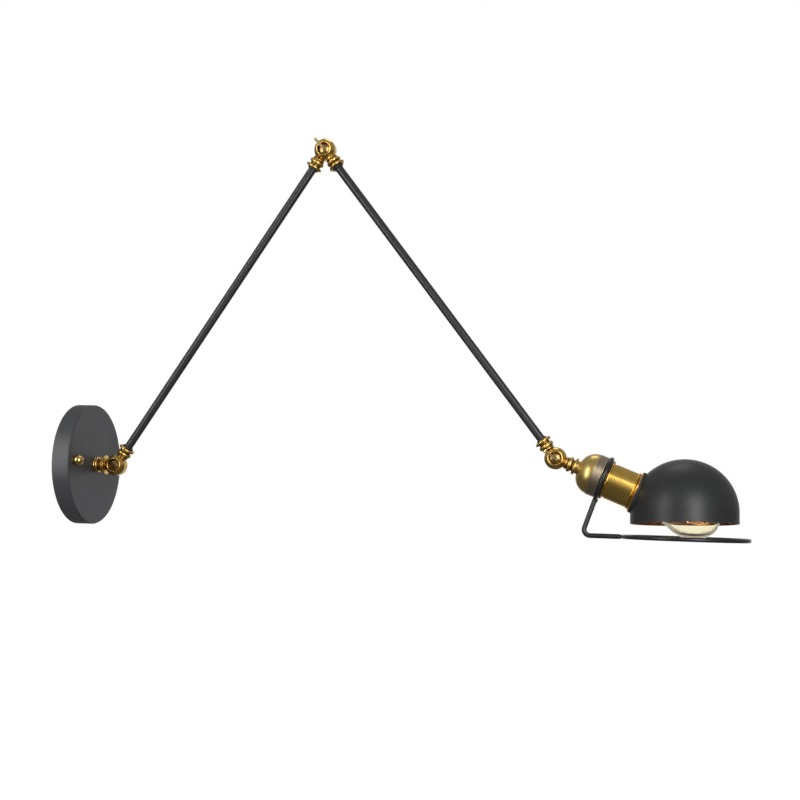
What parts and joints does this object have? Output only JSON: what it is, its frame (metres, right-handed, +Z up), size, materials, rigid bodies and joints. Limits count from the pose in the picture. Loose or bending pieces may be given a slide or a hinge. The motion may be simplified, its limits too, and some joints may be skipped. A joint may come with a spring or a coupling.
{
  "type": "accordion wall lamp",
  "caption": "Wall lamp with a round backplate, slim arms on brass friction knuckles, a socket under a domed shade, and a wire guard ring below.",
  "frame": {"origin": "centre of the backplate on the wall plane, which is also the centre of the bracket's slots", "axes": "+X out of the wall, +Z up, +Y along the knuckle pins; the arms fold in the XZ plane"},
  "size_m": [0.7684, 0.1396, 0.4446],
  "materials": {
    "satin_black": "satin black paint",
    "antique_brass": "polished antique brass",
    "aged_band": "grey-brown bronze, fine brushed",
    "zinc_steel": "zinc plated",
    "black_rubber": "matte black",
    "fibre": "brown fibre washer",
    "porcelain": "white glazed",
    "bulb_cap_metal": "rolled screw cap",
    "dark_glass": "black vitrite",
    "clear_glass": "clear, warm",
    "filament_wire": "glowing tungsten"
  },
  "bodies": {
    "wall_base": {"canopy": "satin_black", "bracket": "zinc_steel", "canopy_studs": "zinc_steel", "cap_nuts": "antique_brass", "earth_screw": "antique_brass", "nipple": "zinc_steel", "lock_nut": "zinc_steel", "lock_washer": "zinc_steel", "seat_ring": "antique_brass", "base_eye": "antique_brass", "base_friction_ring": "fibre", "base_screw": "antique_brass"},
    "lower_arm": {"lower_foot_eye": "antique_brass", "lower_tube": "satin_black", "lower_ferrules": "satin_black", "lower_top_eye": "antique_brass", "elbow_friction_ring": "fibre"},
    "elbow_key": {"elbow_key": "antique_brass"},
    "upper_arm": {"upper_foot_eye": "antique_brass", "upper_tube": "satin_black", "upper_ferrules": "satin_black", "upper_end_eye": "antique_brass", "lamp_friction_ring": "fibre"},
    "lamp_key": {"lamp_key": "antique_brass"},
    "lamp": {"lamp_eye": "antique_brass", "stub_nut": "zinc_steel", "socket_cap": "antique_brass", "socket_band": "aged_band", "band_trims": "antique_brass", "ring_nut": "antique_brass", "barrel": "antique_brass", "gasket": "black_rubber", "shade": "satin_black", "shade_nut": "antique_brass", "lampholder": "porcelain", "screw_shell": "antique_brass", "centre_contact": "antique_brass", "terminal_screws": "antique_brass", "guard": "satin_black", "bulb_cap": "bulb_cap_metal", "bulb_insulator": "dark_glass", "bulb_glass": "clear_glass", "bulb_stem": "clear_glass", "filament": "filament_wire"}
  },
  "joints": [
    {"name": "base_tilt", "type": "hinge", "parent": "wall_base", "child": "lower_arm", "pos_m": [0.0465, 0, 0], "axis": [0, 1, 0], "range_deg": [-28.9, 141.1]},
    {"name": "elbow_tilt", "type": "hinge", "parent": "lower_arm", "child": "upper_arm", "pos_m": [0.29024, 0, 0.36272], "axis": [0, 1, 0], "range_deg": [-228, 12]},
    {"name": "lamp_tilt", "type": "hinge", "parent": "upper_arm", "child": "lamp", "pos_m": [0.55988, 0, 0.01883], "axis": [0, 1, 0], "range_deg": [-89.8, 150.2]},
    {"name": "elbow_key_turn", "type": "hinge", "parent": "lower_arm", "child": "elbow_key", "pos_m": [0.29024, 0, 0.36272], "axis": [0, 1, 0], "range_deg": [-90, 90]},
    {"name": "lamp_key_turn", "type": "hinge", "parent": "upper_arm", "child": "lamp_key", "pos_m": [0.55988, 0, 0.01883], "axis": [0, 1, 0], "range_deg": [-90, 90]}
  ]
}
